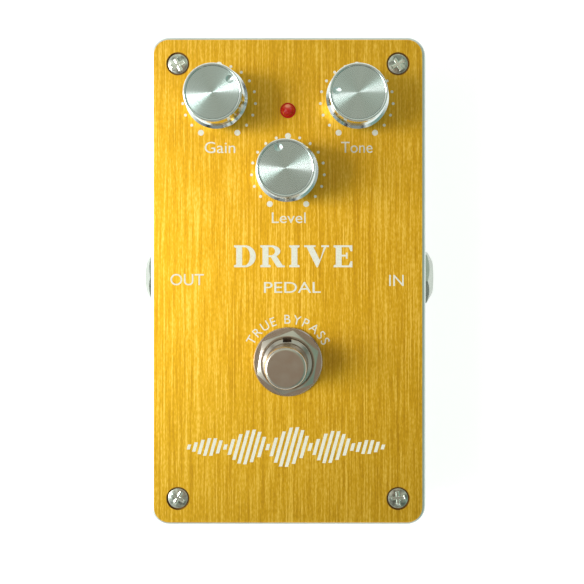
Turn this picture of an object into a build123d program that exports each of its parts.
from build123d import *
import os

# Guitar effects pedal: a die-cast box with a screwed faceplate, three dials, an indicator lamp, a foot
# switch and two jack sockets. Millimetres, +Z up. The origin is on the ground under the middle of the box,
# +X points to the input jack and +Y to the far end, where the power socket is.

# ---- driving dimensions -------------------------------------------------------------------------------
CASE_WIDTH = 68.8
CASE_LENGTH = 122.0
CASE_CORNER = 4.75
CASE_WALL = 2.2
CASE_ROOF = 2.0
CASE_EDGE = 1.0

FOOT_HEIGHT = 2.5
FOOT_R = 6.0
FOOT_X = 24.0
FOOT_Y = 42.0
COVER_THICK = 1.5
COVER_INSET = 0.3
CASE_HEIGHT = 25.5
PLATE_THICK = 1.5
PLATE_INSET = 1.0
PLATE_EDGE = 0.15

SCREW_X = 27.35
SCREW_Y = 54.0

DIAL_X = 17.1
DIAL_Y = 44.7
LEVEL_Y = 27.0
LED_Y = 42.4
SWITCH_Y = -20.0

# Depths of the socket axes below the faceplate's top; the jacks sit a little beyond the box's middle.
JACK_DROP = 14.75
JACK_Y = 0.65
DC_DROP = 18.8

# ---- levels, from the ground up -----------------------------------------------------------------------
COVER_BOTTOM = FOOT_HEIGHT
CASE_BOTTOM = COVER_BOTTOM + COVER_THICK
CASE_TOP = CASE_BOTTOM + CASE_HEIGHT
ROOF = CASE_TOP - CASE_ROOF
PLATE_TOP = CASE_TOP + PLATE_THICK
JACK_Z = PLATE_TOP - JACK_DROP
DC_Z = PLATE_TOP - DC_DROP
BOARD_THICK = 1.6
BOARD_TOP = 19.6
BOARD_BOTTOM = BOARD_TOP - BOARD_THICK

# ---- places in plan -----------------------------------------------------------------------------------
INNER_X = CASE_WIDTH / 2 - CASE_WALL
INNER_Y = CASE_LENGTH / 2 - CASE_WALL
CORNERS = [(-SCREW_X, SCREW_Y), (SCREW_X, SCREW_Y), (-SCREW_X, -SCREW_Y), (SCREW_X, -SCREW_Y)]
DIALS = {"gain": (-DIAL_X, DIAL_Y), "tone": (DIAL_X, DIAL_Y), "level": (0, LEVEL_Y)}
# Pointer directions at rest, clockwise from the far end.
POINTERS = {"gain": 52.6, "tone": -85.4, "level": -18.9}

# ---- fits ---------------------------------------------------------------------------------------------
CLEARANCE = 0.05
RUNNING = 0.04
NUT_SINK = 0.4

# ---- screws -------------------------------------------------------------------------------------------
SCREW_R = 1.5
SCREW_HEAD_R = 2.45
SCREW_DOME = 0.25
SCREW_LENGTH = 10.0
SCREW_POINT_R = 0.7
SCREW_POINT = 0.8
# The head sits in a straight-sided recess, on a cone below it.
RECESS_R = 2.8
RECESS_DEPTH = 0.6
HEAD_DEPTH = 0.3
BOSS_R = 4.5
CROSS_REACH = 1.95
CROSS_WIDTH = 1.2
CROSS_FOOT = 1.4
CROSS_FOOT_WIDTH = 0.35
CROSS_DEPTH = 0.6
CROSS_CENTRE_R = 0.95
# How far each corner's cross is turned, in the order of CORNERS.
CROSS_TURNS = [25, 30, -30, 5]
COVER_CROSS_TURN = 15

# ---- potentiometers and knobs -------------------------------------------------------------------------
SHAFT_R = 3.0
POT_BUSHING_R = 3.5
POT_BUSHING_RISE = 3.1
POT_HOLE_R = 3.7
SHAFT_RISE = 13.0
SHAFT_SLOT = 1.0
SHAFT_SLOT_DEPTH = 7.0
ROTOR_R = 3.9
ROTOR_DROP = 4.5
ROTOR_THICK = 2.2
ROTOR_ROOM = 0.3
POT_WIDTH = 10.0
POT_LENGTH = 11.4
POT_HEIGHT = 6.8
POT_PIN_R = 0.4
POT_PIN_PITCH = 2.5
POT_PIN_Y = -4.6
POT_WASHER_R = 5.6
POT_WASHER_THICK = 0.5
POT_NUT_FLATS = 10.0
POT_NUT_THICK = 2.0
# Heights of the knobs are above the faceplate.
KNOB_GAP = 1.0
KNOB_BASE_R = 6.5
KNOB_TOP = 16.0
COLLAR_R = 7.6
COLLAR_LOW = 6.6
COLLAR_HIGH = 7.7
COLLAR_BEVEL = 0.65
NECK_R = 6.75
RIM_R = 6.92
RIM_HEIGHT = 0.85
RIM_EDGE = 0.25
CAP_R = 6.2
CAP_THICK = 0.5
CAP_SINK = 0.25
DIMPLE_R = 0.95
DIMPLE_DEPTH = 0.3
DIMPLE_FROM_AXIS = 5.1
HOLLOW_R = 6.1
HOLLOW_TOP = 3.6
SOCKET_TOP = 13.2

# ---- indicator lamp -----------------------------------------------------------------------------------
LED_R = 1.5
LED_FLANGE_R = 1.9
LED_FLANGE = 1.0
LED_RISE = 0.1
LED_NECK = 0.5
LEAD = 0.5
LEAD_PITCH = 2.54
LEAD_HOLE_R = 0.5
LED_SPACER_R = 1.85

# ---- foot switch --------------------------------------------------------------------------------------
BUSHING_R = 6.0
BUSHING_RISE = 5.5
BUSHING_BEVEL = 0.6
THREAD_PITCH = 0.75
THREAD_DEPTH = 0.32
PLUNGER_R = 5.0
PLUNGER_TOP = 15.8
PLUNGER_EDGE = 0.75
PLUNGER_FOOT = 30.0
STEM_R = 2.1
STEM_BOTTOM = 19.5
KEYWAY_WIDTH = 2.1
KEYWAY_DEPTH = 0.75
SWITCH_NUT_FLATS = 14.0
SWITCH_NUT_THICK = 2.5
SWITCH_NUT_TURN = 20.5
LOCK_NUT_THICK = 2.2
SWITCH_WASHER_R = 8.55
SWITCH_WASHER_THICK = 1.0
SWITCH_SIZE = 17.0
SWITCH_TOP = 24.0
SWITCH_BOTTOM = 10.5
SWITCH_FLANGE = 0.8
SWITCH_WALL = 1.2
SWITCH_ROOF = 1.5
SWITCH_BASE_THICK = 1.5
SPRING_WIRE_R = 0.22
SPRING_R = 3.7
SPRING_TURNS = 4
TERMINAL_PITCH = 4.7
LUG_WIDTH = 2.0
LUG_THICK = 0.8
# Three rocking blades, each tipped onto one end terminal of its row.
BLADE_HALF = 5.6
BLADE_KNEE = 0.4
BLADE_LIFT = 0.9
BLADE_THICK = 0.4
BLADE_WIDTH = 1.8
SWITCH_BOARD_TOP = 8.6
SWITCH_BOARD_WIDTH = 22.0
SWITCH_BOARD_LENGTH = 24.0

# ---- jack and power sockets ---------------------------------------------------------------------------
JACK_BORE_R = 3.25
JACK_BUSHING_R = 4.76
JACK_RISE = 2.7
JACK_NUT_FLATS = 12.7
JACK_NUT_THICK = 2.0
# How far the hexagons are turned: with 30 a corner points straight up.
INPUT_NUT_TURN = 37
OUTPUT_NUT_TURN = 31
JACK_WASHER_THICK = 0.5
JACK_WASHER_R = 7.0
JACK_DEPTH = 26.0
JACK_BODY_WIDTH = 14.0
JACK_BODY_HEIGHT = 14.4
CHAMBER_R = 3.6
CONTACT_THICK = 0.4
CONTACT_WIDTH = 3.0
# Distances of the contacts' lugs from the middle of the box, and their height above the jack's axis.
TIP_LUG_X = 23.0
SLEEVE_LUG_X = 29.8
LUG_RISE = 9.8
WIRE_R = 0.55
WIRE_RUN = 11.0
WIRE_BEND = 2.5
DC_COLLAR_R = 5.2
DC_BORE_R = 3.15
DC_BORE_DEPTH = 9.3
DC_PIN_R = 1.0
DC_PIN_ROOT_R = 1.3
DC_PIN_TIP = 0.8
DC_LENGTH = 14.0
DC_WIDTH = 9.0
DC_BODY_BOTTOM = 7.2
DC_SLOT_LENGTH = 5.8
DC_SLOT_WIDTH = 2.8
DC_SPRING_WIDTH = 2.4
DC_SPRING_THICK = 0.3

# ---- boards and what is soldered to them --------------------------------------------------------------
BOARD_HALF = 31.0
BOARD_NEAR = 9.5
BOARD_FAR = 57.5
NOTCH_X = 22.0
NOTCH_Y = 48.5
PIN_TAIL = 1.0
CHIP_LENGTH = 9.4
CHIP_WIDTH = 6.4
CHIP_HEIGHT = 3.4
CHIP_X = 12.0
CHIP_Y = 29.0
CAN_HEIGHT = 9.0
SMALL_CAN_R = 2.5
LARGE_CAN_R = 3.15
FILM_LENGTH = 6.8
FILM_THICK = 2.6
FILM_HEIGHT = 6.5
FILM_PITCH = 9.0
FILM_Y = 15.5
RESISTOR_R = 0.95
RESISTOR_LENGTH = 5.6
RESISTOR_LEAD_R = 0.25
RESISTOR_PITCH = 8.0
RESISTOR_ROWS = (19.5, 37.0)
RIBBON_WIDTH = 7.6
RIBBON_THICK = 1.0
RIBBON_Z = 13.5
RIBBON_FAR = 11.2
RIBBON_BEND = 2.0

os.makedirs("parts", exist_ok=True)


def save(builder, node):
    """Label a finished piece and write it as a STEP file."""
    builder.part.label = node
    export_step(builder.part, "parts/" + node + ".step")


def upright(x, y, height=0.0):
    """The plane through a vertical axis: its local x runs outwards along +X and its local y runs up."""
    return Plane(origin=(x, y, height), x_dir=(1, 0, 0), z_dir=(0, -1, 0))


def turn(points, x, y, mode=Mode.ADD):
    """Revolve an outline of (radius, height) points about the vertical axis at x, y."""
    with BuildSketch(upright(x, y)) as outline:
        with BuildLine():
            Polyline(*points, close=True)
        make_face()
    revolve(outline.sketch, axis=Axis((x, y, 0), (0, 0, 1)), mode=mode)


def ring_points(inner, outer, low, high, edge=0.0):
    """Outline of a ring, with its two outer edges chamfered by edge."""
    if edge == 0:
        return [(inner, low), (outer, low), (outer, high), (inner, high)]
    return [(inner, low), (outer - edge, low), (outer, low + edge), (outer, high - edge),
            (outer - edge, high), (inner, high)]


def thread_points(radius, low, high):
    """Zigzag of a threaded cylinder's outside, from low to high."""
    crests = int((high - low) / THREAD_PITCH)
    points = [(radius - THREAD_DEPTH, low)]
    for i in range(crests):
        base = low + i * THREAD_PITCH
        points.append((radius, base + THREAD_PITCH / 2))
        points.append((radius - THREAD_DEPTH, base + THREAD_PITCH))
    return points + [(radius - THREAD_DEPTH, high)]


def screw_hole(x, y, face, up, thick):
    """Cut a hole for a countersunk screw into a sheet, from its outer face at height face."""
    step = face - up * RECESS_DEPTH
    back = face - up * thick
    turn([(0, face), (RECESS_R, face), (RECESS_R, step), (SCREW_HEAD_R + CLEARANCE, step),
          (SCREW_R + CLEARANCE, back), (0, back)], x, y, Mode.SUBTRACT)


# ---- box body -----------------------------------------------------------------------------------------
with BuildPart() as enclosure_body:
    with BuildSketch(Plane.XY.offset(CASE_BOTTOM)):
        RectangleRounded(CASE_WIDTH, CASE_LENGTH, CASE_CORNER)
    extrude(amount=CASE_HEIGHT)
    fillet(enclosure_body.faces().sort_by(Axis.Z)[-1].edges(), CASE_EDGE)
    # The cavity leaves a solid pillar in each corner for the screws.
    with BuildSketch(Plane.XY.offset(CASE_BOTTOM)):
        RectangleRounded(2 * INNER_X, 2 * INNER_Y, CASE_CORNER - CASE_WALL)
        with Locations(*CORNERS):
            Circle(BOSS_R, mode=Mode.SUBTRACT)
        with GridLocations(2 * INNER_X, 2 * INNER_Y, 2, 2):
            Rectangle(2 * (INNER_X - SCREW_X), 2 * (INNER_Y - SCREW_Y), mode=Mode.SUBTRACT)
    extrude(amount=CASE_HEIGHT - CASE_ROOF, mode=Mode.SUBTRACT)
    with Locations(*[(x, y, CASE_TOP) for x, y in CORNERS]):
        Hole(SCREW_R + CLEARANCE, depth=CASE_HEIGHT)
    with Locations(*[(x, y, CASE_TOP) for x, y in DIALS.values()]):
        Hole(POT_HOLE_R, depth=CASE_ROOF)
    with Locations((0, LED_Y, CASE_TOP)):
        Hole(LED_SPACER_R + 0.2, depth=CASE_ROOF)
    with Locations((0, SWITCH_Y, CASE_TOP)):
        Hole(BUSHING_R + 0.2, depth=CASE_ROOF)
    # Jack holes through both long sides and the power socket's hole through the far wall.
    with BuildSketch(Plane.YZ.offset(-CASE_WIDTH / 2)):
        with Locations((JACK_Y, JACK_Z)):
            Circle(JACK_BUSHING_R + 0.15)
    extrude(amount=CASE_WIDTH, mode=Mode.SUBTRACT)
    with BuildSketch(Plane.XZ.offset(-CASE_LENGTH / 2)):
        with Locations((0, DC_Z)):
            Circle(DC_COLLAR_R + 0.2)
    extrude(amount=CASE_WALL, mode=Mode.SUBTRACT)
enclosure_body.part.label = "enclosure_body"
export_step(enclosure_body.part, "parts/enclosure_body.step")

# ---- faceplate ----------------------------------------------------------------------------------------
with BuildPart() as faceplate:
    with BuildSketch(Plane.XY.offset(CASE_TOP)):
        RectangleRounded(CASE_WIDTH - 2 * PLATE_INSET, CASE_LENGTH - 2 * PLATE_INSET,
                         CASE_CORNER - PLATE_INSET)
    extrude(amount=PLATE_THICK)
    chamfer(faceplate.faces().sort_by(Axis.Z)[-1].edges(), PLATE_EDGE)
    for x, y in CORNERS:
        screw_hole(x, y, PLATE_TOP, 1, PLATE_THICK)
    with Locations(*[(x, y, PLATE_TOP) for x, y in DIALS.values()]):
        Hole(POT_HOLE_R, depth=PLATE_THICK)
    with Locations((0, LED_Y, PLATE_TOP)):
        Hole(LED_FLANGE_R + CLEARANCE, depth=PLATE_THICK)
    with Locations((0, SWITCH_Y, PLATE_TOP)):
        Hole(BUSHING_R + 0.1, depth=PLATE_THICK)
faceplate.part.label = "faceplate"
export_step(faceplate.part, "parts/faceplate.step")

# ---- bottom cover and feet ----------------------------------------------------------------------------
with BuildPart() as bottom_cover:
    with BuildSketch(Plane.XY.offset(COVER_BOTTOM)):
        RectangleRounded(CASE_WIDTH - 2 * COVER_INSET, CASE_LENGTH - 2 * COVER_INSET,
                         CASE_CORNER - COVER_INSET)
    extrude(amount=COVER_THICK)
    chamfer(bottom_cover.faces().sort_by(Axis.Z)[0].edges(), 0.3)
    for x, y in CORNERS:
        screw_hole(x, y, COVER_BOTTOM, -1, COVER_THICK)
bottom_cover.part.label = "bottom_cover"
export_step(bottom_cover.part, "parts/bottom_cover.step")

with BuildPart() as rubber_feet:
    with BuildSketch():
        with GridLocations(2 * FOOT_X, 2 * FOOT_Y, 2, 2):
            Circle(FOOT_R)
    extrude(amount=FOOT_HEIGHT)
    chamfer(rubber_feet.edges().group_by(Axis.Z)[0], 0.6)
rubber_feet.part.label = "rubber_feet"
export_step(rubber_feet.part, "parts/rubber_feet.step")


# ---- countersunk cross-head screws --------------------------------------------------------------------
def screw(x, y, top, up, cross_turn):
    """Add one countersunk screw, its head's rim at height top, facing up (1) or down (-1)."""
    rim = HEAD_DEPTH - RECESS_DEPTH
    neck = HEAD_DEPTH - PLATE_THICK
    tip = HEAD_DEPTH - SCREW_LENGTH
    with BuildSketch(upright(x, y, top)) as outline:
        with BuildLine():
            ThreePointArc((0, up * SCREW_DOME), (SCREW_HEAD_R / 2, up * 0.75 * SCREW_DOME),
                          (SCREW_HEAD_R, 0))
            Polyline((SCREW_HEAD_R, 0), (SCREW_HEAD_R, up * rim), (SCREW_R, up * neck),
                     (SCREW_R, up * (tip + SCREW_POINT)), (SCREW_POINT_R, up * tip), (0, up * tip),
                     (0, up * SCREW_DOME))
        make_face()
    revolve(outline.sketch, axis=Axis((x, y, 0), (0, 0, 1)))
    face = Plane(origin=(x, y, top + up * SCREW_DOME), x_dir=(1, 0, 0), z_dir=(0, 0, up))
    for quarter in (0, 90):
        across = face.rotated((0, 0, cross_turn + quarter))
        with BuildSketch(across) as mouth:
            Rectangle(2 * CROSS_REACH, CROSS_WIDTH)
        with BuildSketch(across.offset(-CROSS_DEPTH)) as foot:
            Rectangle(2 * CROSS_FOOT, CROSS_FOOT_WIDTH)
        loft([mouth.sketch, foot.sketch], mode=Mode.SUBTRACT)
    with BuildSketch(face) as wide_end:
        Circle(CROSS_CENTRE_R)
    with BuildSketch(face.offset(-CROSS_DEPTH)) as narrow_end:
        Circle(CROSS_FOOT_WIDTH / 2)
    loft([wide_end.sketch, narrow_end.sketch], mode=Mode.SUBTRACT)


with BuildPart() as faceplate_screws:
    for (x, y), cross_turn in zip(CORNERS, CROSS_TURNS):
        screw(x, y, PLATE_TOP - HEAD_DEPTH, 1, cross_turn)
faceplate_screws.part.label = "faceplate_screws"
export_step(faceplate_screws.part, "parts/faceplate_screws.step")

with BuildPart() as bottom_cover_screws:
    for (x, y), cross_turn in zip(CORNERS, CROSS_TURNS):
        screw(x, y, COVER_BOTTOM + HEAD_DEPTH, -1, cross_turn + COVER_CROSS_TURN)
bottom_cover_screws.part.label = "bottom_cover_screws"
export_step(bottom_cover_screws.part, "parts/bottom_cover_screws.step")

# ---- dials: knob, spun cap, shaft and potentiometer ---------------------------------------------------
SHAFT_TOP = PLATE_TOP + SHAFT_RISE
ROTOR_LOW = ROOF - ROTOR_DROP
ROTOR_HIGH = ROTOR_LOW + ROTOR_THICK
POT_BOTTOM = ROOF - POT_HEIGHT
CAP_TOP = KNOB_TOP - CAP_SINK
CAP_BOTTOM = CAP_TOP - CAP_THICK


def make_knob(dial):
    """A chrome knob: a foot that widens to a bevelled collar, then a neck that ends in a rounded rim."""
    x, y = DIALS[dial]
    socket_r = SHAFT_R + 0.02
    seat_r = CAP_R + CLEARANCE
    rim_low = KNOB_TOP - RIM_HEIGHT
    with BuildPart() as knob:
        with BuildSketch(upright(x, y, PLATE_TOP)) as outline:
            with BuildLine():
                Polyline((seat_r, CAP_TOP), (seat_r, CAP_BOTTOM), (0, CAP_BOTTOM), (0, SOCKET_TOP),
                         (socket_r, SOCKET_TOP), (socket_r, HOLLOW_TOP), (HOLLOW_R, HOLLOW_TOP),
                         (HOLLOW_R, KNOB_GAP), (KNOB_BASE_R, KNOB_GAP), (COLLAR_R, COLLAR_LOW),
                         (COLLAR_R, COLLAR_HIGH - COLLAR_BEVEL), (COLLAR_R - COLLAR_BEVEL, COLLAR_HIGH),
                         (NECK_R, rim_low), (RIM_R, rim_low + 0.15), (RIM_R, KNOB_TOP - RIM_EDGE))
                RadiusArc((RIM_R, KNOB_TOP - RIM_EDGE), (seat_r, CAP_TOP), -(RIM_R - seat_r) / 2 - 0.02)
            make_face()
        revolve(outline.sketch, axis=Axis((x, y, 0), (0, 0, 1)))
    save(knob, dial + "_knob")


def make_cap(dial):
    """The spun disc let into the knob's top, with a round dimple that points."""
    x, y = DIALS[dial]
    low = PLATE_TOP + CAP_BOTTOM
    high = PLATE_TOP + CAP_TOP
    ball_r = (DIMPLE_R ** 2 + DIMPLE_DEPTH ** 2) / (2 * DIMPLE_DEPTH)
    pointer = Vector(0, DIMPLE_FROM_AXIS, 0).rotate(Axis.Z, -POINTERS[dial])
    with BuildPart() as cap:
        turn(ring_points(0, CAP_R, low, high), x, y)
        with Locations((x + pointer.X, y + pointer.Y, high + ball_r - DIMPLE_DEPTH)):
            Sphere(ball_r, mode=Mode.SUBTRACT)
    save(cap, dial + "_knob_cap")


def make_shaft(dial):
    """The control's shaft: a split end that grips the knob and a rotor that turns inside the housing."""
    x, y = DIALS[dial]
    with BuildPart() as shaft:
        turn([(0, ROTOR_LOW), (ROTOR_R, ROTOR_LOW), (ROTOR_R, ROTOR_HIGH), (SHAFT_R, ROTOR_HIGH),
              (SHAFT_R, SHAFT_TOP - 0.5), (SHAFT_R - 0.5, SHAFT_TOP), (0, SHAFT_TOP)], x, y)
        with BuildSketch(Plane.XY.offset(SHAFT_TOP)):
            with Locations((x, y)):
                Rectangle(2 * SHAFT_R, SHAFT_SLOT)
        extrude(amount=-SHAFT_SLOT_DEPTH, mode=Mode.SUBTRACT)
    save(shaft, dial + "_pot_shaft")


def make_pot(dial):
    """The potentiometer's fixed part: housing, threaded bushing and three pins."""
    x, y = DIALS[dial]
    bore = SHAFT_R + RUNNING
    bushing_top = PLATE_TOP + POT_BUSHING_RISE
    room_r = ROTOR_R + ROTOR_ROOM
    with BuildPart() as pot:
        with BuildSketch(Plane.XY.offset(POT_BOTTOM)):
            with Locations((x, y)):
                Rectangle(POT_WIDTH, POT_LENGTH)
        extrude(amount=POT_HEIGHT)
        chamfer(pot.edges().filter_by(Axis.Z), 0.6)
        turn(ring_points(0, POT_BUSHING_R, ROOF, bushing_top, 0.2), x, y)
        turn([(0, ROTOR_LOW - ROTOR_ROOM), (room_r, ROTOR_LOW - ROTOR_ROOM),
              (room_r, ROTOR_HIGH + ROTOR_ROOM), (bore, ROTOR_HIGH + ROTOR_ROOM), (bore, bushing_top),
              (0, bushing_top)], x, y, Mode.SUBTRACT)
        with BuildSketch(Plane.XY.offset(POT_BOTTOM)):
            with Locations((x, y + POT_PIN_Y)):
                with GridLocations(POT_PIN_PITCH, 1, 3, 1):
                    Circle(POT_PIN_R)
        extrude(amount=BOARD_BOTTOM - PIN_TAIL - POT_BOTTOM)
    save(pot, dial + "_pot")


for dial in DIALS:
    make_knob(dial)
    make_cap(dial)
    make_shaft(dial)
    make_pot(dial)


def nut_profile(flats, low, high):
    """(radius, height) outline that cones off a hexagon nut's outer corners at 30 degrees."""
    corner = flats / 3 ** 0.5
    top_r = 0.95 * flats / 2
    slope = (corner - top_r) / 3 ** 0.5
    return [(0, low), (corner, low), (corner, high - slope), (top_r, high), (0, high)]


def hex_nut(x, y, low, flats, thick, bore, turned):
    """Add an upright hexagon nut with coned corners and a countersunk bore."""
    with BuildSketch(Plane.XY.offset(low)) as hexagon:
        with Locations((x, y)):
            RegularPolygon(flats / 2, 6, major_radius=False, rotation=turned)
            Circle(bore, mode=Mode.SUBTRACT)
    prism = extrude(hexagon.sketch, amount=thick, mode=Mode.PRIVATE)
    with BuildSketch(upright(x, y)) as disc:
        with BuildLine():
            Polyline(*nut_profile(flats, low, low + thick), close=True)
        make_face()
    add(prism & revolve(disc.sketch, axis=Axis((x, y, 0), (0, 0, 1)), mode=Mode.PRIVATE))
    turn([(0, low + thick - NUT_SINK), (bore, low + thick - NUT_SINK), (bore + NUT_SINK, low + thick),
          (0, low + thick)], x, y, Mode.SUBTRACT)


with BuildPart() as pot_washers:
    for x, y in DIALS.values():
        turn(ring_points(POT_BUSHING_R + 0.1, POT_WASHER_R, PLATE_TOP, PLATE_TOP + POT_WASHER_THICK),
             x, y)
pot_washers.part.label = "pot_washers"
export_step(pot_washers.part, "parts/pot_washers.step")

with BuildPart() as pot_nuts:
    for x, y in DIALS.values():
        hex_nut(x, y, PLATE_TOP + POT_WASHER_THICK, POT_NUT_FLATS, POT_NUT_THICK,
                POT_BUSHING_R + CLEARANCE, 0)
pot_nuts.part.label = "pot_nuts"
export_step(pot_nuts.part, "parts/pot_nuts.step")

# ---- the lamp, its leads and its spacer ---------------------------------------------------------------
LED_BASE = PLATE_TOP + LED_RISE - LED_FLANGE
DOME_BASE = PLATE_TOP + LED_RISE + LED_NECK
with BuildPart() as led:
    with BuildSketch(upright(0, LED_Y)):
        with BuildLine():
            Polyline((0, DOME_BASE + LED_R), (0, LED_BASE), (LED_FLANGE_R, LED_BASE),
                     (LED_FLANGE_R, LED_BASE + LED_FLANGE), (LED_R, LED_BASE + LED_FLANGE), (LED_R, DOME_BASE))
            CenterArc((0, DOME_BASE), LED_R, 0, 90)
        make_face()
    revolve(axis=Axis((0, LED_Y, 0), (0, 0, 1)))
led.part.label = "led"
export_step(led.part, "parts/led.step")

with BuildPart() as led_leads:
    with BuildSketch(Plane.XY.offset(BOARD_BOTTOM - PIN_TAIL)):
        with Locations((0, LED_Y)):
            with GridLocations(LEAD_PITCH, 1, 2, 1):
                Rectangle(LEAD, LEAD)
    extrude(amount=LED_BASE - BOARD_BOTTOM + PIN_TAIL)
led_leads.part.label = "led_leads"
export_step(led_leads.part, "parts/led_leads.step")

with BuildPart() as led_spacer:
    with BuildSketch(Plane.XY.offset(BOARD_TOP)):
        with Locations((0, LED_Y)):
            Circle(LED_SPACER_R)
            with GridLocations(LEAD_PITCH, 1, 2, 1):
                Circle(LEAD_HOLE_R, mode=Mode.SUBTRACT)
    extrude(amount=LED_BASE - BOARD_TOP)
led_spacer.part.label = "led_spacer"
export_step(led_spacer.part, "parts/led_spacer.step")

# ---- foot switch --------------------------------------------------------------------------------------
BUSHING_TOP = PLATE_TOP + BUSHING_RISE
FLANGE_TOP = SWITCH_TOP + SWITCH_FLANGE
with BuildPart() as footswitch_bushing:
    with BuildSketch(Plane.XY.offset(SWITCH_TOP)):
        with Locations((0, SWITCH_Y)):
            RectangleRounded(SWITCH_SIZE - 0.6, SWITCH_SIZE - 0.6, 1.5)
    extrude(amount=SWITCH_FLANGE)
    turn([(0, FLANGE_TOP)] + thread_points(BUSHING_R, FLANGE_TOP, BUSHING_TOP - BUSHING_BEVEL)
         + [(BUSHING_R, BUSHING_TOP - BUSHING_BEVEL), (PLUNGER_R + 0.2, BUSHING_TOP), (0, BUSHING_TOP)],
         0, SWITCH_Y)
    with Locations((0, SWITCH_Y, BUSHING_TOP)):
        Hole(PLUNGER_R + 0.06, depth=BUSHING_TOP - FLANGE_TOP)
        Hole(STEM_R + 0.08, depth=BUSHING_TOP - SWITCH_TOP)
    # Keyway down the outside, towards the far end.
    with BuildSketch(Plane.XY.offset(FLANGE_TOP)):
        with Locations((0, SWITCH_Y + BUSHING_R)):
            Rectangle(KEYWAY_WIDTH, 2 * KEYWAY_DEPTH)
    extrude(amount=BUSHING_TOP - FLANGE_TOP, mode=Mode.SUBTRACT)
footswitch_bushing.part.label = "footswitch_bushing"
export_step(footswitch_bushing.part, "parts/footswitch_bushing.step")

with BuildPart() as footswitch_plunger:
    with BuildSketch(Plane.XY.offset(PLUNGER_FOOT)):
        with Locations((0, SWITCH_Y)):
            Circle(PLUNGER_R)
    extrude(amount=PLATE_TOP + PLUNGER_TOP - PLUNGER_FOOT)
    fillet(footswitch_plunger.edges().sort_by(Axis.Z)[-1], PLUNGER_EDGE)
    with BuildSketch(Plane.XY.offset(PLUNGER_FOOT)):
        with Locations((0, SWITCH_Y)):
            Circle(STEM_R)
    extrude(amount=STEM_BOTTOM - PLUNGER_FOOT)
footswitch_plunger.part.label = "footswitch_plunger"
export_step(footswitch_plunger.part, "parts/footswitch_plunger.step")

spring_height = PLUNGER_FOOT - FLANGE_TOP - 2 * SPRING_WIRE_R
with BuildPart() as footswitch_spring:
    with BuildLine():
        coil = Helix(spring_height / SPRING_TURNS, spring_height, SPRING_R,
                     center=(0, SWITCH_Y, FLANGE_TOP + SPRING_WIRE_R))
    with BuildSketch(Plane(coil @ 0, z_dir=coil % 0)):
        Circle(SPRING_WIRE_R)
    sweep()
footswitch_spring.part.label = "footswitch_spring"
export_step(footswitch_spring.part, "parts/footswitch_spring.step")

with BuildPart() as footswitch_washer:
    turn(ring_points(BUSHING_R + 0.1, SWITCH_WASHER_R, PLATE_TOP, PLATE_TOP + SWITCH_WASHER_THICK, 0.25),
         0, SWITCH_Y)
footswitch_washer.part.label = "footswitch_washer"
export_step(footswitch_washer.part, "parts/footswitch_washer.step")

with BuildPart() as footswitch_nut:
    hex_nut(0, SWITCH_Y, PLATE_TOP + SWITCH_WASHER_THICK, SWITCH_NUT_FLATS, SWITCH_NUT_THICK,
            BUSHING_R + CLEARANCE, SWITCH_NUT_TURN)
footswitch_nut.part.label = "footswitch_nut"
export_step(footswitch_nut.part, "parts/footswitch_nut.step")

with BuildPart() as footswitch_lock_nut:
    hex_nut(0, SWITCH_Y, ROOF - LOCK_NUT_THICK, SWITCH_NUT_FLATS, LOCK_NUT_THICK, BUSHING_R + CLEARANCE, 0)
footswitch_lock_nut.part.label = "footswitch_lock_nut"
export_step(footswitch_lock_nut.part, "parts/footswitch_lock_nut.step")

with BuildPart() as footswitch_housing:
    with BuildSketch(Plane.XY.offset(SWITCH_BOTTOM)):
        with Locations((0, SWITCH_Y)):
            RectangleRounded(SWITCH_SIZE, SWITCH_SIZE, 1.5)
    extrude(amount=SWITCH_TOP - SWITCH_BOTTOM)
    with BuildSketch(Plane.XY.offset(SWITCH_BOTTOM)):
        with Locations((0, SWITCH_Y)):
            Rectangle(SWITCH_SIZE - 2 * SWITCH_WALL, SWITCH_SIZE - 2 * SWITCH_WALL)
    extrude(amount=SWITCH_TOP - SWITCH_BOTTOM - SWITCH_ROOF, mode=Mode.SUBTRACT)
    with Locations((0, SWITCH_Y, SWITCH_TOP)):
        Hole(STEM_R + 0.3, depth=SWITCH_ROOF)
footswitch_housing.part.label = "footswitch_housing"
export_step(footswitch_housing.part, "parts/footswitch_housing.step")

LUG_TOP = SWITCH_BOTTOM + SWITCH_BASE_THICK + 1.4
LUG_BOTTOM = SWITCH_BOARD_TOP - BOARD_THICK - 0.9
with BuildPart() as footswitch_base:
    with BuildSketch(Plane.XY.offset(SWITCH_BOTTOM)):
        with Locations((0, SWITCH_Y)):
            Rectangle(SWITCH_SIZE - 2 * SWITCH_WALL - 0.2, SWITCH_SIZE - 2 * SWITCH_WALL - 0.2)
            with GridLocations(TERMINAL_PITCH, TERMINAL_PITCH, 3, 3):
                Rectangle(LUG_WIDTH + 2 * CLEARANCE, LUG_THICK + 2 * CLEARANCE, mode=Mode.SUBTRACT)
    extrude(amount=SWITCH_BASE_THICK)
footswitch_base.part.label = "footswitch_base"
export_step(footswitch_base.part, "parts/footswitch_base.step")

with BuildPart() as footswitch_terminals:
    with BuildSketch(Plane.XY.offset(LUG_BOTTOM)):
        with Locations((0, SWITCH_Y)):
            with GridLocations(TERMINAL_PITCH, TERMINAL_PITCH, 3, 3):
                Rectangle(LUG_WIDTH, LUG_THICK)
    extrude(amount=LUG_TOP - LUG_BOTTOM)
footswitch_terminals.part.label = "footswitch_terminals"
export_step(footswitch_terminals.part, "parts/footswitch_terminals.step")

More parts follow.
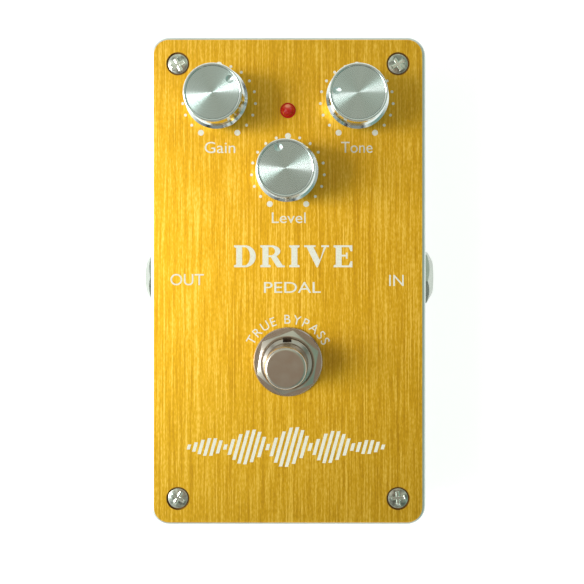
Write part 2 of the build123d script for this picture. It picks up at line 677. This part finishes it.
with BuildPart() as footswitch_contacts:
    for column in (-TERMINAL_PITCH, 0, TERMINAL_PITCH):
        with BuildSketch(Plane(origin=(column, SWITCH_Y, LUG_TOP), x_dir=(0, 1, 0), z_dir=(1, 0, 0))):
            with BuildLine():
                Polyline((-BLADE_HALF, 0), (BLADE_KNEE, 0), (BLADE_HALF, BLADE_LIFT),
                         (BLADE_HALF, BLADE_LIFT + BLADE_THICK), (BLADE_KNEE, BLADE_THICK),
                         (-BLADE_HALF, BLADE_THICK), close=True)
            make_face()
        extrude(amount=BLADE_WIDTH / 2, both=True)
footswitch_contacts.part.label = "footswitch_contacts"
export_step(footswitch_contacts.part, "parts/footswitch_contacts.step")

with BuildPart() as switch_board:
    with BuildSketch(Plane.XY.offset(SWITCH_BOARD_TOP - BOARD_THICK)):
        with Locations((0, SWITCH_Y)):
            Rectangle(SWITCH_BOARD_WIDTH, SWITCH_BOARD_LENGTH)
            with GridLocations(TERMINAL_PITCH, TERMINAL_PITCH, 3, 3):
                Rectangle(LUG_WIDTH + 0.3, LUG_THICK + 0.3, mode=Mode.SUBTRACT)
    extrude(amount=BOARD_THICK)
switch_board.part.label = "switch_board"
export_step(switch_board.part, "parts/switch_board.step")

# ---- jacks --------------------------------------------------------------------------------------------
JACK_FACE = CASE_WIDTH / 2
BUSHING_BACK = INNER_X - 2.0
BUSHING_END = JACK_FACE + JACK_RISE
NUT_BACK = JACK_FACE + JACK_WASHER_THICK
NUT_FRONT = NUT_BACK + JACK_NUT_THICK
CHAMBER_END = INNER_X - JACK_DEPTH + 1.0


def make_jack(name, side, nut_turn):
    """One jack, on the +X (side 1) or -X (side -1) wall; distances run outwards along its axis."""
    axis = Axis((0, JACK_Y, JACK_Z), (1, 0, 0))
    lengthwise = Plane(origin=(0, JACK_Y, JACK_Z), x_dir=(side, 0, 0), z_dir=(0, -side, 0))
    corner = JACK_NUT_FLATS / 3 ** 0.5
    cone_low = NUT_FRONT - (corner - JACK_BUSHING_R) / 3 ** 0.5
    nut_cone = [(NUT_BACK, 0), (NUT_BACK, corner), (cone_low, corner), (NUT_FRONT, JACK_BUSHING_R),
                (NUT_FRONT, 0)]

    def across(distance):
        return Plane(origin=(side * distance, JACK_Y, JACK_Z), x_dir=(0, side, 0), z_dir=(side, 0, 0))

    with BuildPart() as bushing:
        with BuildSketch(lengthwise):
            with BuildLine():
                Polyline((BUSHING_BACK, JACK_BORE_R), (BUSHING_BACK, JACK_BUSHING_R),
                         (BUSHING_END - 0.4, JACK_BUSHING_R), (BUSHING_END, JACK_BUSHING_R - 0.4),
                         (BUSHING_END, JACK_BORE_R + 0.5), (BUSHING_END - 0.5, JACK_BORE_R), close=True)
            make_face()
        revolve(axis=axis)
    save(bushing, name + "_bushing")

    with BuildPart() as washer:
        with BuildSketch(across(JACK_FACE)):
            Circle(JACK_WASHER_R)
            Circle(JACK_BUSHING_R + 0.1, mode=Mode.SUBTRACT)
        extrude(amount=JACK_WASHER_THICK)
    save(washer, name + "_washer")

    with BuildPart() as nut:
        with BuildSketch(across(NUT_BACK)):
            RegularPolygon(JACK_NUT_FLATS / 2, 6, major_radius=False, rotation=nut_turn)
            Circle(JACK_BUSHING_R + CLEARANCE, mode=Mode.SUBTRACT)
        extrude(amount=JACK_NUT_THICK)
        with BuildSketch(lengthwise):
            with BuildLine():
                Polyline(*nut_cone, close=True)
            make_face()
        revolve(axis=axis, mode=Mode.INTERSECT)
    save(nut, name + "_nut")

    with BuildPart() as housing:
        with BuildSketch(across(INNER_X)):
            RectangleRounded(JACK_BODY_WIDTH, JACK_BODY_HEIGHT, 1.0)
        extrude(amount=-JACK_DEPTH)
        with BuildSketch(lengthwise):
            with BuildLine():
                Polyline((CHAMBER_END, 0), (CHAMBER_END, CHAMBER_R), (BUSHING_BACK, CHAMBER_R),
                         (BUSHING_BACK, JACK_BUSHING_R + 0.02), (INNER_X, JACK_BUSHING_R + 0.02),
                         (INNER_X, 0), close=True)
            make_face()
        revolve(axis=axis, mode=Mode.SUBTRACT)
        # Slots, open at the top, for the two contacts.
        with BuildSketch(lengthwise):
            with BuildLine():
                Polyline((8.4, 0), (8.4, JACK_BODY_HEIGHT), (TIP_LUG_X + 0.6, JACK_BODY_HEIGHT),
                         (TIP_LUG_X + 0.6, 0), close=True)
            make_face()
            with Locations((SLEEVE_LUG_X, 0)):
                Rectangle(0.8, 2 * JACK_BODY_HEIGHT, align=(Align.CENTER, Align.MIN))
        extrude(amount=CONTACT_WIDTH / 2 + 0.2, both=True, mode=Mode.SUBTRACT)
    save(housing, name + "_housing")

    with BuildPart() as contacts:
        with BuildSketch(lengthwise):
            with BuildLine():
                Polyline((TIP_LUG_X, LUG_RISE), (TIP_LUG_X, 5.6), (12.5, 5.6), (10.2, 3.8), (9.0, 4.6))
            trace(line_width=CONTACT_THICK)
            with BuildLine():
                Polyline((SLEEVE_LUG_X, LUG_RISE), (SLEEVE_LUG_X, 4.0))
            trace(line_width=CONTACT_THICK)
        extrude(amount=CONTACT_WIDTH / 2, both=True)
    save(contacts, name + "_contacts")

    # Two wires, from the contacts' lugs over to the circuit board.
    with BuildPart() as wires:
        for lug_x in (TIP_LUG_X, SLEEVE_LUG_X):
            start = Vector(side * lug_x, JACK_Y + CONTACT_WIDTH / 2, JACK_Z + LUG_RISE - 0.8)
            with BuildLine() as route:
                FilletPolyline(start, start + (0, WIRE_RUN, 0), (start.X, start.Y + WIRE_RUN, BOARD_TOP),
                               radius=WIRE_BEND)
            with BuildSketch(Plane(start, z_dir=(0, 1, 0))) as section:
                Circle(WIRE_R)
            sweep(section.sketch, path=route.wire())
    save(wires, name + "_wires")


make_jack("input_jack", 1, INPUT_NUT_TURN)
make_jack("output_jack", -1, OUTPUT_NUT_TURN)

# ---- power socket -------------------------------------------------------------------------------------
DC_FRONT = CASE_LENGTH / 2 - 0.2
DC_BACK = DC_FRONT - DC_LENGTH
DC_FLOOR = DC_FRONT - DC_BORE_DEPTH
dc_side = Plane(origin=(0, 0, DC_Z), x_dir=(0, 1, 0), z_dir=(1, 0, 0))
dc_axis = Axis((0, 0, DC_Z), (0, 1, 0))
with BuildPart() as dc_jack_housing:
    with BuildSketch(Plane.XZ.offset(-INNER_Y)):
        with Locations((0, (BOARD_BOTTOM + DC_BODY_BOTTOM) / 2)):
            Rectangle(DC_WIDTH, BOARD_BOTTOM - DC_BODY_BOTTOM)
    extrude(amount=INNER_Y - DC_BACK)
    with BuildSketch(dc_side):
        with BuildLine():
            Polyline((INNER_Y - 1.0, 0), (INNER_Y - 1.0, 4.4), (INNER_Y, 4.4), (INNER_Y, DC_COLLAR_R),
                     (DC_FRONT - 0.3, DC_COLLAR_R), (DC_FRONT, DC_COLLAR_R - 0.3), (DC_FRONT, 0), close=True)
        make_face()
    revolve(axis=dc_axis)
    with BuildSketch(dc_side):
        with BuildLine():
            Polyline((DC_BACK, 0), (DC_BACK, DC_PIN_ROOT_R + 0.02), (DC_FLOOR, DC_PIN_ROOT_R + 0.02),
                     (DC_FLOOR, DC_BORE_R),
                     (DC_FRONT - 0.4, DC_BORE_R), (DC_FRONT, DC_BORE_R + 0.4), (DC_FRONT, 0), close=True)
        make_face()
    revolve(axis=dc_axis, mode=Mode.SUBTRACT)
    # Slot under the bore for the sleeve spring, open at the bottom.
    with BuildSketch(dc_side):
        with BuildLine():
            Polyline((DC_FLOOR, 0), (DC_FLOOR, -DC_WIDTH), (DC_FLOOR + DC_SLOT_LENGTH, -DC_WIDTH),
                     (DC_FLOOR + DC_SLOT_LENGTH, 0), close=True)
        make_face()
    extrude(amount=DC_SLOT_WIDTH / 2, both=True, mode=Mode.SUBTRACT)
dc_jack_housing.part.label = "dc_jack_housing"
export_step(dc_jack_housing.part, "parts/dc_jack_housing.step")

with BuildPart() as dc_jack_pin:
    with BuildSketch(dc_side):
        with BuildLine():
            Polyline((DC_BACK, 0), (DC_BACK, DC_PIN_ROOT_R), (DC_FLOOR, DC_PIN_ROOT_R), (DC_FLOOR, DC_PIN_R),
                     (DC_FRONT - DC_PIN_TIP - 0.6, DC_PIN_R), (DC_FRONT - DC_PIN_TIP, DC_PIN_R - 0.5),
                     (DC_FRONT - DC_PIN_TIP, 0), close=True)
        make_face()
    revolve(axis=dc_axis)
dc_jack_pin.part.label = "dc_jack_pin"
export_step(dc_jack_pin.part, "parts/dc_jack_pin.step")

with BuildPart() as dc_jack_spring:
    with BuildSketch(dc_side):
        with BuildLine():
            Polyline((DC_FLOOR + 0.4, -5.6), (DC_FLOOR + 0.4, -4.2), (DC_FLOOR + 4.2, -3.0),
                     (DC_FLOOR + 5.4, -3.9))
        trace(line_width=DC_SPRING_THICK)
    extrude(amount=DC_SPRING_WIDTH / 2, both=True)
dc_jack_spring.part.label = "dc_jack_spring"
export_step(dc_jack_spring.part, "parts/dc_jack_spring.step")

# ---- main board and what is soldered to it ------------------------------------------------------------
with BuildPart() as main_board:
    with BuildSketch(Plane.XY.offset(BOARD_BOTTOM)):
        with BuildLine():
            Polyline((-BOARD_HALF, BOARD_NEAR), (BOARD_HALF, BOARD_NEAR), (BOARD_HALF, NOTCH_Y),
                     (NOTCH_X, NOTCH_Y), (NOTCH_X, BOARD_FAR), (-NOTCH_X, BOARD_FAR), (-NOTCH_X, NOTCH_Y),
                     (-BOARD_HALF, NOTCH_Y), close=True)
        make_face()
        for x, y in DIALS.values():
            with Locations((x, y + POT_PIN_Y)):
                with GridLocations(POT_PIN_PITCH, 1, 3, 1):
                    Circle(POT_PIN_R + 0.1, mode=Mode.SUBTRACT)
        with Locations((0, LED_Y)):
            with GridLocations(LEAD_PITCH, 1, 2, 1):
                Circle(LEAD_HOLE_R, mode=Mode.SUBTRACT)
    extrude(amount=BOARD_THICK)
main_board.part.label = "main_board"
export_step(main_board.part, "parts/main_board.step")

with BuildPart() as integrated_circuits:
    with BuildSketch(Plane.XY.offset(BOARD_BOTTOM)):
        with Locations((-CHIP_X, CHIP_Y), (CHIP_X, CHIP_Y)):
            Rectangle(CHIP_LENGTH, CHIP_WIDTH)
    extrude(amount=-CHIP_HEIGHT)
    # A half-round notch marks each chip's first end.
    with BuildSketch(Plane.XY.offset(BOARD_BOTTOM - CHIP_HEIGHT)):
        with Locations((-CHIP_X - CHIP_LENGTH / 2, CHIP_Y), (CHIP_X - CHIP_LENGTH / 2, CHIP_Y)):
            Circle(0.9)
    extrude(amount=0.5, mode=Mode.SUBTRACT)
integrated_circuits.part.label = "integrated_circuits"
export_step(integrated_circuits.part, "parts/integrated_circuits.step")

with BuildPart() as electrolytic_capacitors:
    with BuildSketch(Plane.XY.offset(BOARD_BOTTOM)):
        with Locations((-24.5, 27), (24.5, 27), (0, 33)):
            Circle(SMALL_CAN_R)
        with Locations((-25, 43.5), (25, 43.5)):
            Circle(LARGE_CAN_R)
    extrude(amount=-CAN_HEIGHT)
    chamfer(electrolytic_capacitors.edges().group_by(Axis.Z)[0], 0.4)
electrolytic_capacitors.part.label = "electrolytic_capacitors"
export_step(electrolytic_capacitors.part, "parts/electrolytic_capacitors.step")

with BuildPart() as film_capacitors:
    with BuildSketch(Plane.XY.offset(BOARD_BOTTOM)):
        with Locations((0, FILM_Y)):
            with GridLocations(FILM_PITCH, 1, 6, 1):
                Rectangle(FILM_LENGTH, FILM_THICK)
    extrude(amount=-FILM_HEIGHT)
    chamfer(film_capacitors.edges().group_by(Axis.Z)[0], 0.3)
film_capacitors.part.label = "film_capacitors"
export_step(film_capacitors.part, "parts/film_capacitors.step")

with BuildPart() as resistors:
    for row_y in RESISTOR_ROWS:
        for column in range(-3, 4):
            x = column * RESISTOR_PITCH
            z = BOARD_BOTTOM - RESISTOR_R
            with BuildSketch(Plane(origin=(x, row_y, z), x_dir=(0, 1, 0), z_dir=(1, 0, 0))):
                Circle(RESISTOR_R)
            extrude(amount=RESISTOR_LENGTH / 2, both=True)
            with BuildSketch(Plane(origin=(x, row_y, z), x_dir=(0, 1, 0), z_dir=(1, 0, 0))):
                Circle(RESISTOR_LEAD_R)
            extrude(amount=RESISTOR_LENGTH / 2 + 0.9, both=True)
resistors.part.label = "resistors"
export_step(resistors.part, "parts/resistors.step")

# Flat cable between the two boards, through the gap between the jacks.
ribbon_start = SWITCH_Y + SWITCH_BOARD_LENGTH / 2 - 1.2
with BuildPart() as ribbon_cable:
    with BuildSketch(Plane.YZ):
        with BuildLine():
            FilletPolyline((ribbon_start, SWITCH_BOARD_TOP), (ribbon_start, RIBBON_Z), (RIBBON_FAR, RIBBON_Z),
                           (RIBBON_FAR, BOARD_BOTTOM), radius=RIBBON_BEND)
        trace(line_width=RIBBON_THICK)
    extrude(amount=RIBBON_WIDTH / 2, both=True)
ribbon_cable.part.label = "ribbon_cable"
export_step(ribbon_cable.part, "parts/ribbon_cable.step")
